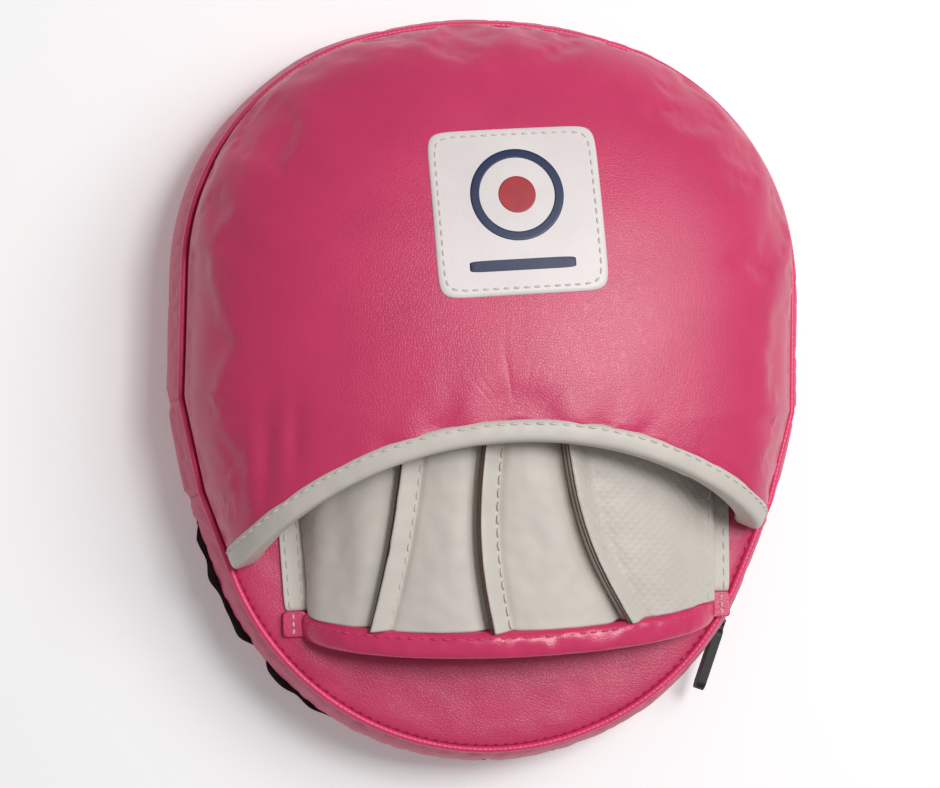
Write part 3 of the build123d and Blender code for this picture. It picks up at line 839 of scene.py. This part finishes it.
def on_hand(x, y, lift):
    """Places points across and along the hand on the back panel."""
    px, py = hand_to_pad(x, y)
    return np.stack(np.broadcast_arrays(px, py, BACK_Z + lift), axis=-1)


def build_side_strips():
    """The flat strips that hold the glove to the back panel, each with two rows of stitches."""
    top = GLOVE_REACH[1]
    width = 8.0 * MM
    for side, word in ((-1, "left"), (1, "right")):
        low_u, high_u = GLOVE_HALF[0] + width / 2, GLOVE_HALF[1] + width / 2
        middle = side * (low_u + high_u) / 2
        reach = (top - GLOVE_REACH[0]) / 2

        def place(x, y, lift, middle=middle, side=side):
            lean = side * (high_u - low_u) * (y / (GLOVE_REACH[1] - GLOVE_REACH[0]))
            return on_hand(middle + x + lean, y + GLOVE_REACH[0] + reach, lift)

        polar_patch(
            f"side_strip_{word}_leather",
            place,
            rounded_box(width / 2, reach, 14),
            1.3 * MM,
            "light",
            segments=160,
            slot="light_leather",
            replaces=(f"side_strip_{word}",),
        )
        y = np.linspace(-reach, reach, 60)
        for row, x in enumerate((-2.1 * MM, 2.1 * MM)):
            path, up = surface_path(lambda lift: place(np.full(60, x), y, lift + 1.2 * MM))
            stitches(f"side_strip_{word}_stitches_{row + 1}", path, up, "thread", slot="light_leather")


def build_wrist_binding():
    """The rolled pink binding of the wrist edge, its stitches and its flat stitched ends."""
    share = np.linspace(0.0, 1.0, 260)
    half = 4.4 * MM

    def roll(along, lift):
        """A line along the binding, moved towards the wrist by along and lifted off the glove."""
        base = glove(share, 0.0, lift)
        flat = cos(WRIST_LEAN)
        wrist = np.array((sin(HAND_TURN) * flat, -cos(HAND_TURN) * flat, -0.3 * sin(WRIST_LEAN)))
        return base + along * wrist

    loop = np.arange(24) * TURN / 24
    c, s = np.cos(loop), np.sin(loop)
    along = half + np.sign(c) * np.abs(c) ** 0.75 * half
    lifts = 0.3 * MM + np.sign(s) * np.abs(s) ** 0.8 * 2.6 * MM
    rings = np.stack([roll(a, l) for a, l in zip(along, lifts)], axis=1)
    puckers = smooth_noise(rings, 4.5 * MM, 31) * 0.45 * MM + smooth_noise(rings, 14 * MM, 32) * 0.5 * MM
    rings[..., 2] += puckers
    rings[..., 2] = np.maximum(rings[..., 2], BACK_Z + 0.05 * MM)
    binding = swept("wrist_edge_roll", rings, "roll", slot="pink_leather", replaces=("wrist_binding",))
    path, up = surface_path(lambda lift: roll(1.6 * MM, lift + 2.35 * MM))
    path[:, 2] += np.interp(share, np.linspace(0, 1, 260), puckers[:, 6])
    stitches("wrist_roll_stitches", path[8:-8], up[8:-8], "pink_thread", pitch=3.6 * MM, slot="pink_leather")

    for side, word in ((-1, "left"), (1, "right")):
        low, high = (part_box(f"binding_tab_{word}")[i] for i in (0, 1))
        centre = (low + high) / 2
        c, s = cos(HAND_TURN), sin(HAND_TURN)

        def place(x, y, lift, centre=centre, c=c, s=s):
            px, py = centre.x + x * c - y * s, centre.y + x * s + y * c
            return np.stack(np.broadcast_arrays(px, py, BACK_Z + lift), axis=-1)

        polar_patch(
            f"wrist_tab_{word}",
            place,
            rounded_box((high.x - low.x) / 2 - 0.1 * MM, (high.y - low.y) / 2 - 0.2 * MM, 6),
            2.4 * MM,
            "roll",
            slot="pink_leather",
            replaces=(f"binding_tab_{word}",),
        )
        y = np.linspace(-3.6 * MM, 3.6 * MM, 12)
        path, up = surface_path(lambda lift: place(np.full(12, 0.4 * side * MM), y, lift + 2.3 * MM))
        stitches(f"wrist_tab_{word}_stitches", path, up, "thread", pitch=2.4 * MM, slot="light_leather")


def build_back_panel():
    """The pink back panel under the glove, softly quilted by the foam and puckered at its seam."""

    def rim(angle):
        reach = radius_from(np.zeros(2), angle)
        return reach * np.cos(angle), reach * np.sin(angle)

    def place(x, y, lift):
        flat = np.stack([x, y, np.zeros_like(x)], axis=-1)
        inside = 1 - np.hypot(x, y) / radius_from(np.zeros(2), np.arctan2(y, x))
        soft = 0.5 * MM * smooth_noise(flat, 26 * MM, 41) + 0.35 * MM * smooth_noise(flat, 7 * MM, 42)
        near_seam = np.exp(-inside / 0.05)
        z = BACK_Z - 1.4 * MM + lift + soft * np.clip(inside * 30, 0, 1) * (0.4 + 0.6 * near_seam)
        return np.stack([x, y, z], axis=-1)

    cover = polar_patch(
        "back_cover", place, rim, 1.4 * MM, "pink", rings=90, segments=360, slot="pink_leather",
        replaces=("back_panel", "foam_back"),
    )


def build_striking_face():
    """The front cover with its round target, both flat on what the mitt lies on."""
    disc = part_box("target_disc")[1].x

    def rim(angle):
        reach = radius_from(np.zeros(2), angle)
        return reach * np.cos(angle), reach * np.sin(angle)

    def down(x, y, lift):
        return np.stack([x, y, 1.4 * MM - lift], axis=-1)

    cover = polar_patch(
        "striking_cover", down, rim, 1.1 * MM, "pink", rings=40, segments=360, slot="pink_leather",
        replaces=("strike_face", "foam_face"),
    )
    polar_patch(
        "striking_target", down, rounded_box(disc, disc, 2.0), 1.38 * MM, "white", slot="white_leather",
        replaces=("target_disc",), base=0.9 * MM,
    )
    angle = np.linspace(0, TURN, 200)[:-1]
    reach = disc - 2 * MM
    path = np.stack([reach * np.cos(angle), reach * np.sin(angle), np.full(199, 0.3 * MM)], axis=1)
    up = np.broadcast_to((0.0, 0.0, -1.0), path.shape)
    stitches("target_stitches", path, up, "thread", closed=True, slot="white_leather")


def build_side_wall():
    """The stuffed side wall in its sewn panels, with puckers at the seams."""
    right_low, right_high = edge_share(1, LOWER_KNEE), edge_share(1, UPPER_KNEE)
    left_low, left_high = edge_share(-1, LOWER_KNEE), edge_share(-1, UPPER_KNEE)
    whole = (WALL_LOW, WALL_HIGH)
    panels = (
        ("wall_over_fingertips", "gusset_upper", right_high, left_high, whole, 420),
        ("wall_side_right", "gusset_side_right", right_low, right_high, whole, 60),
        ("wall_side_left", "gusset_side_left", left_high, left_low, whole, 60),
        ("wall_heel_back", "gusset_lower_back", left_low - 1, right_low, (SLOT_HIGH, WALL_HIGH), 360),
        ("wall_heel_front", "gusset_lower_front", left_low - 1, right_low, (WALL_LOW, SLOT_LOW), 360),
    )
    for number, (name, node, start, end, (low, high), count) in enumerate(panels):
        share = np.linspace(start, end, count)[:, None]
        z = np.linspace(low, high, 26)[None, :]
        flat = edge_at(share, wall_grow(z), z)
        ends = np.minimum(share - start, end - share) * EDGE_LENGTH
        heights = np.minimum(z - low, high - z)
        pucker = 0.45 * MM * smooth_noise(flat * np.array((1, 1, 0.3)), 5 * MM, 50 + number)
        swell = 0.7 * MM * smooth_noise(flat, 30 * MM, 60 + number)
        grow = wall_grow(z) + swell * np.clip(heights / (8 * MM), 0, 1)
        grow = grow + pucker * np.exp(-heights / (6 * MM)) - 0.9 * MM * np.exp(-((ends / (1.6 * MM)) ** 2))
        back = edge_at(share, grow - 1.0 * MM, z)
        skin = stuffed(edge_at(share, grow, z), back, 0.5 * MM)
        nodes = (node, "foam_core") if number == 0 else (node,)
        wall = closed_sheet(name, skin, back, "wall", slot="pink_leather", replaces=nodes)
    for name, z, start, end in (
        ("slot_stitches_back", SLOT_HIGH + 1.3 * MM, left_low - 1, right_low),
        ("slot_stitches_front", SLOT_LOW - 1.3 * MM, left_low - 1, right_low),
    ):
        share = np.linspace(start, end, 500)
        path, up = surface_path(lambda lift: edge_at(share, wall_grow(z) + lift - 0.1 * MM, np.full(500, z)))
        stitches(
            name, path[6:-6], up[6:-6], "dark_thread", pitch=3.4 * MM, radius=0.26 * MM, slot="pink_leather"
        )


def build_piping():
    """The two rolled welts round the pad, with the stitch holes of the closing seam."""
    share = np.linspace(0, 1, 1801)[:-1]
    for name, node in (("piping_back", "back_piping"), ("piping_front", "front_piping")):
        low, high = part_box(node)
        z = (low.z + high.z) / 2
        path = edge_at(share, 0.0, np.full(len(share), z))
        up = np.broadcast_to((0.0, 0.0, 1.0), path.shape)
        beads = PIPING_RADIUS * (1 - 0.07 * np.cos(share * TURN * round(EDGE_LENGTH / (3.3 * MM))) ** 4)
        # The welts take the lighter piping colour: a painted highlight along their crest.
        swept(name, tube_rings(path, up, beads, closed=True, sides=12), "piping", closed_path=True,
              slot="pink_leather", replaces=(node,))
    path = edge_at(share, -1.7 * MM, np.full(len(share), BACK_Z + 0.15 * MM))
    up = np.broadcast_to((0.0, 0.0, 1.0), path.shape)
    # Deep pink stitches: painted shade of the closing seam's stitch holes.
    stitches(
        "closing_seam_stitches", path, up, "dark_thread", pitch=3.3 * MM, length=0.4, radius=0.15 * MM,
        closed=True, slot="pink_leather",
    )


def chain_shares(count):
    """Shares round the outline that the zip's chain covers, from its left end to its right."""
    return np.linspace(edge_share(-1, CHAIN_TOP) - 1, edge_share(1, CHAIN_TOP), count)


def build_zip():
    """The zip: two coils, two woven tapes and the loose ruffle of the back tape near its open end."""
    sizes = bpy.context.scene.mitt_sizes
    for word, turn in (("back", 1), ("front", -1)):
        low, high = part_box(f"zip_coil_{word}")
        z = (low.z + high.z) / 2
        middle = coil_grow()
        count = 3200
        share = chain_shares(count)
        pitch = 1.5 * MM
        swing = (share - share[0]) * EDGE_LENGTH / pitch * TURN
        path = edge_at(share, middle + 0.75 * MM * np.cos(swing), z + turn * 0.55 * MM * np.sin(swing))
        up = np.broadcast_to((0.0, 0.0, 1.0), path.shape)
        swept(
            f"coil_{word}", tube_rings(path, up, 0.24 * MM, sides=6), "coil", slot="zip_coil",
            replaces=(f"zip_coil_{word}",),
        )
        low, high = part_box(f"zip_tape_{word}")
        share = np.linspace(edge_share(-1, LOWER_KNEE) - 1, edge_share(1, LOWER_KNEE), 700)[:, None]
        z = np.linspace(low.z, high.z, 14)[None, :]
        flat = edge_at(share, middle, z)
        ripple = 0.18 * MM * smooth_noise(flat, 7 * MM, 70 + turn)
        outer = edge_at(share, middle + 0.35 * MM + ripple, z)
        inner = edge_at(share, middle - 0.35 * MM + ripple, z)
        closed_sheet(f"tape_{word}", outer, inner, "tape", slot="zip_tape", replaces=(f"zip_tape_{word}",))

    start, end = edge_share(-1, LOWER_KNEE) - 1 + 0.01, edge_share(-1, LOWER_KNEE) - 1 + 0.135
    share = np.linspace(start, end, 520)[:, None]
    out = np.linspace(0, 1, 22)[None, :]
    along = (share - start) / (end - start)
    waves = np.sin(along * TURN * 5.1 + 0.6) + 0.45 * np.sin(along * TURN * 8.7 + 2.0)
    fade = np.clip(along / 0.07, 0, 1) * np.clip((1 - along) / 0.3, 0, 1)
    notch = 1 - 0.85 * np.exp(-(((along - 0.54) / 0.05) ** 2))
    reach = sizes.ruffle * fade * notch * (0.85 + 0.15 * waves)
    root = wall_grow(SLOT_HIGH) - 1.6 * MM
    grow = root + (reach + 0.6 * MM) * out
    z = SLOT_HIGH + 0.2 * MM + (0.9 + 0.8 * np.sin(along * TURN * 9.2)) * MM * out * fade + 0.6 * MM * out
    upper, lower = edge_at(share, grow, z + 0.3 * MM), edge_at(share, grow, z - 0.3 * MM)
    closed_sheet("tape_ruffle", upper, lower, "tape", slot="zip_tape")


def coil_grow():
    """How far the middle of the chain stands out of the piping line, from the coil's solid."""
    outline = EDGE[:, 1].min() - PIPING_RADIUS
    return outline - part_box("zip_coil_back")[0].y - COIL_THICKNESS / 2


def finish_cad_pieces():
    """Gives the slider, the pull and the stops their real finishes."""
    finishes = {
        "slider_body": "nickel",
        "zip_stop_left": "nickel",
        "zip_stop_right": "nickel",
        "pull_link": "gunmetal",
        "pull_tab": "rubber",
    }
    for node, material in finishes.items():
        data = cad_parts[node].data
        data.materials.clear()
        data.materials.append(MATERIALS[material])


# ================================================================ stage
def aim(thing, place, target, roll=0.0):
    """Puts a light or camera at a place and points it at a target, with the fingertip end up."""
    thing.location = place
    back = (Vector(place) - Vector(target)).normalized()
    side = Vector((0, 1, 0)).cross(back).normalized()
    axes = Matrix((side, back.cross(side), back)).transposed()
    thing.rotation_euler = (axes @ Matrix.Rotation(roll, 3, "Z")).to_euler()


def add_light(name, place, target, size, power, colour=(1, 1, 1)):
    """A soft square light."""
    data = bpy.data.lights.new(name, "AREA")
    data.shape = "SQUARE"
    data.size = size
    data.energy = power
    data.color = colour
    light = bpy.data.objects.new(name, data)
    bpy.context.scene.collection.objects.link(light)
    aim(light, place, target)


def build_stage():
    """A pale floor, soft light from the upper right and a camera that looks down on the hand side."""
    floor_mesh = bpy.data.meshes.new("floor")
    far = 3.0
    floor_mesh.from_pydata([(-far, -far, 0), (far, -far, 0), (far, far, 0), (-far, far, 0)], [], [(0, 1, 2, 3)])
    floor = bpy.data.objects.new("floor", floor_mesh)
    bpy.context.scene.collection.objects.link(floor)
    floor.location.z = -0.2 * MM
    material, tree, shader, place = new_material(
        "floor_matt_white",
        {"Specular IOR Level": 0.1, "Emission Color": (1.0, 1.0, 1.0, 1.0), "Emission Strength": 0.12},
    )
    mottled(tree, shader, place, linear("FFFFFF"), 0.3, 0.002, 0.9, 0.02)
    floor_mesh.materials.append(material)

    world = bpy.data.worlds.new("studio")
    world.use_nodes = True
    world.node_tree.nodes["Background"].inputs["Color"].default_value = (1, 1, 1, 1)
    world.node_tree.nodes["Background"].inputs["Strength"].default_value = 0.28
    bpy.context.scene.world = world
    bpy.context.scene.view_settings.view_transform = "Standard"
    add_light("key", (0.45, 0.20, 0.85), (0, 0, 0.05), 0.50, 3.5)
    add_light("top", (0.29, 0.17, 1.15), (0, 0, 0.05), 0.26, 4.7)

    data = bpy.data.cameras.new("camera")
    data.lens = 88
    data.sensor_width = 36
    camera = bpy.data.objects.new("camera", data)
    bpy.context.scene.collection.objects.link(camera)
    target = Vector((-6.8 * MM, -3.8 * MM, BACK_Z))
    towards = Vector((-0.10, -0.07, 1.0)).normalized()
    aim(camera, target + towards * 0.762, target, radians(1.0))
    bpy.context.scene.camera = camera


# ================================================================ operators
class MITT_OT_materials(bpy.types.Operator):
    """Makes the mitt's leathers, threads, metals and rubber, and finishes the solids that stay"""

    bl_idname = "mitt.materials"
    bl_label = "Materials"

    def execute(self, context):
        make_materials()
        finish_cad_pieces()
        return {"FINISHED"}


class MITT_OT_side_wall(bpy.types.Operator):
    """Sews the stuffed side wall's panels"""

    bl_idname = "mitt.side_wall"
    bl_label = "Side wall"

    def execute(self, context):
        build_side_wall()
        return {"FINISHED"}


class MITT_OT_piping(bpy.types.Operator):
    """Rolls the two welts and pricks the closing seam"""

    bl_idname = "mitt.piping"
    bl_label = "Piping"

    def execute(self, context):
        build_piping()
        return {"FINISHED"}


class MITT_OT_striking_face(bpy.types.Operator):
    """Sews the front cover and its round target"""

    bl_idname = "mitt.striking_face"
    bl_label = "Striking face"

    def execute(self, context):
        build_striking_face()
        return {"FINISHED"}


class MITT_OT_back_panel(bpy.types.Operator):
    """Lays the back panel over its foam"""

    bl_idname = "mitt.back_panel"
    bl_label = "Back panel"

    def execute(self, context):
        build_back_panel()
        return {"FINISHED"}


class MITT_OT_zip(bpy.types.Operator):
    """Makes the zip's coils and tapes, with the back tape's loose ruffle"""

    bl_idname = "mitt.zip"
    bl_label = "Zip"

    def execute(self, context):
        build_zip()
        return {"FINISHED"}


class MITT_OT_glove(bpy.types.Operator):
    """Sews the glove's four panels with their lapped finger seams"""

    bl_idname = "mitt.glove"
    bl_label = "Glove"

    def execute(self, context):
        build_glove()
        return {"FINISHED"}


class MITT_OT_side_strips(bpy.types.Operator):
    """Sews the two strips that hold the glove down"""

    bl_idname = "mitt.side_strips"
    bl_label = "Side strips"

    def execute(self, context):
        build_side_strips()
        return {"FINISHED"}


class MITT_OT_wrist_binding(bpy.types.Operator):
    """Rolls the wrist edge's padded binding and stitches its ends"""

    bl_idname = "mitt.wrist_binding"
    bl_label = "Wrist binding"

    def execute(self, context):
        build_wrist_binding()
        return {"FINISHED"}


class MITT_OT_hood(bpy.types.Operator):
    """Stuffs the hood and lines it"""

    bl_idname = "mitt.hood"
    bl_label = "Hood"

    def execute(self, context):
        build_hood()
        return {"FINISHED"}


class MITT_OT_hood_binding(bpy.types.Operator):
    """Folds and stitches the binding round the hood's mouth"""

    bl_idname = "mitt.hood_binding"
    bl_label = "Hood binding"

    def execute(self, context):
        build_hood_binding()
        return {"FINISHED"}


class MITT_OT_patch(bpy.types.Operator):
    """Sews the plain printed patch to the hood"""

    bl_idname = "mitt.patch"
    bl_label = "Patch"

    def execute(self, context):
        build_label()
        return {"FINISHED"}


class MITT_OT_stage(bpy.types.Operator):
    """Sets the floor, the lights and the camera"""

    bl_idname = "mitt.stage"
    bl_label = "Stage"

    def execute(self, context):
        build_stage()
        return {"FINISHED"}


OPERATORS = (
    MITT_OT_materials,
    MITT_OT_side_wall,
    MITT_OT_piping,
    MITT_OT_striking_face,
    MITT_OT_back_panel,
    MITT_OT_zip,
    MITT_OT_glove,
    MITT_OT_side_strips,
    MITT_OT_wrist_binding,
    MITT_OT_hood,
    MITT_OT_hood_binding,
    MITT_OT_patch,
    MITT_OT_stage,
)


class MITT_PT_pieces(bpy.types.Panel):
    """Lists the mitt's sizes, colours and pieces."""

    bl_idname = "MITT_PT_pieces"
    bl_label = "Focus Mitt"
    bl_space_type = "VIEW_3D"
    bl_region_type = "UI"
    bl_category = "Focus Mitt"

    def draw(self, context):
        for group in (context.scene.mitt_sizes, context.scene.mitt_colours):
            for setting in type(group).__annotations__:
                self.layout.prop(group, setting)
        for operator in OPERATORS:
            self.layout.operator(operator.bl_idname)


CLASSES = (MittSizes, MittColours, *OPERATORS, MITT_PT_pieces)


def register():
    """Registers the classes and puts the settings on the scene."""
    for group in CLASSES:
        bpy.utils.register_class(group)
    bpy.types.Scene.mitt_sizes = bpy.props.PointerProperty(type=MittSizes)
    bpy.types.Scene.mitt_colours = bpy.props.PointerProperty(type=MittColours)


def unregister():
    """Takes the settings off the scene and unregisters the classes."""
    del bpy.types.Scene.mitt_colours
    del bpy.types.Scene.mitt_sizes
    for group in reversed(CLASSES):
        bpy.utils.unregister_class(group)


def main():
    """Makes every piece in order."""
    register()
    bpy.ops.mitt.materials()
    bpy.ops.mitt.stage()
    bpy.ops.mitt.side_wall()
    bpy.ops.mitt.piping()
    bpy.ops.mitt.striking_face()
    bpy.ops.mitt.back_panel()
    bpy.ops.mitt.zip()
    bpy.ops.mitt.glove()
    bpy.ops.mitt.side_strips()
    bpy.ops.mitt.wrist_binding()
    bpy.ops.mitt.hood()
    bpy.ops.mitt.hood_binding()
    bpy.ops.mitt.patch()


if __name__ == "__main__":
    main()
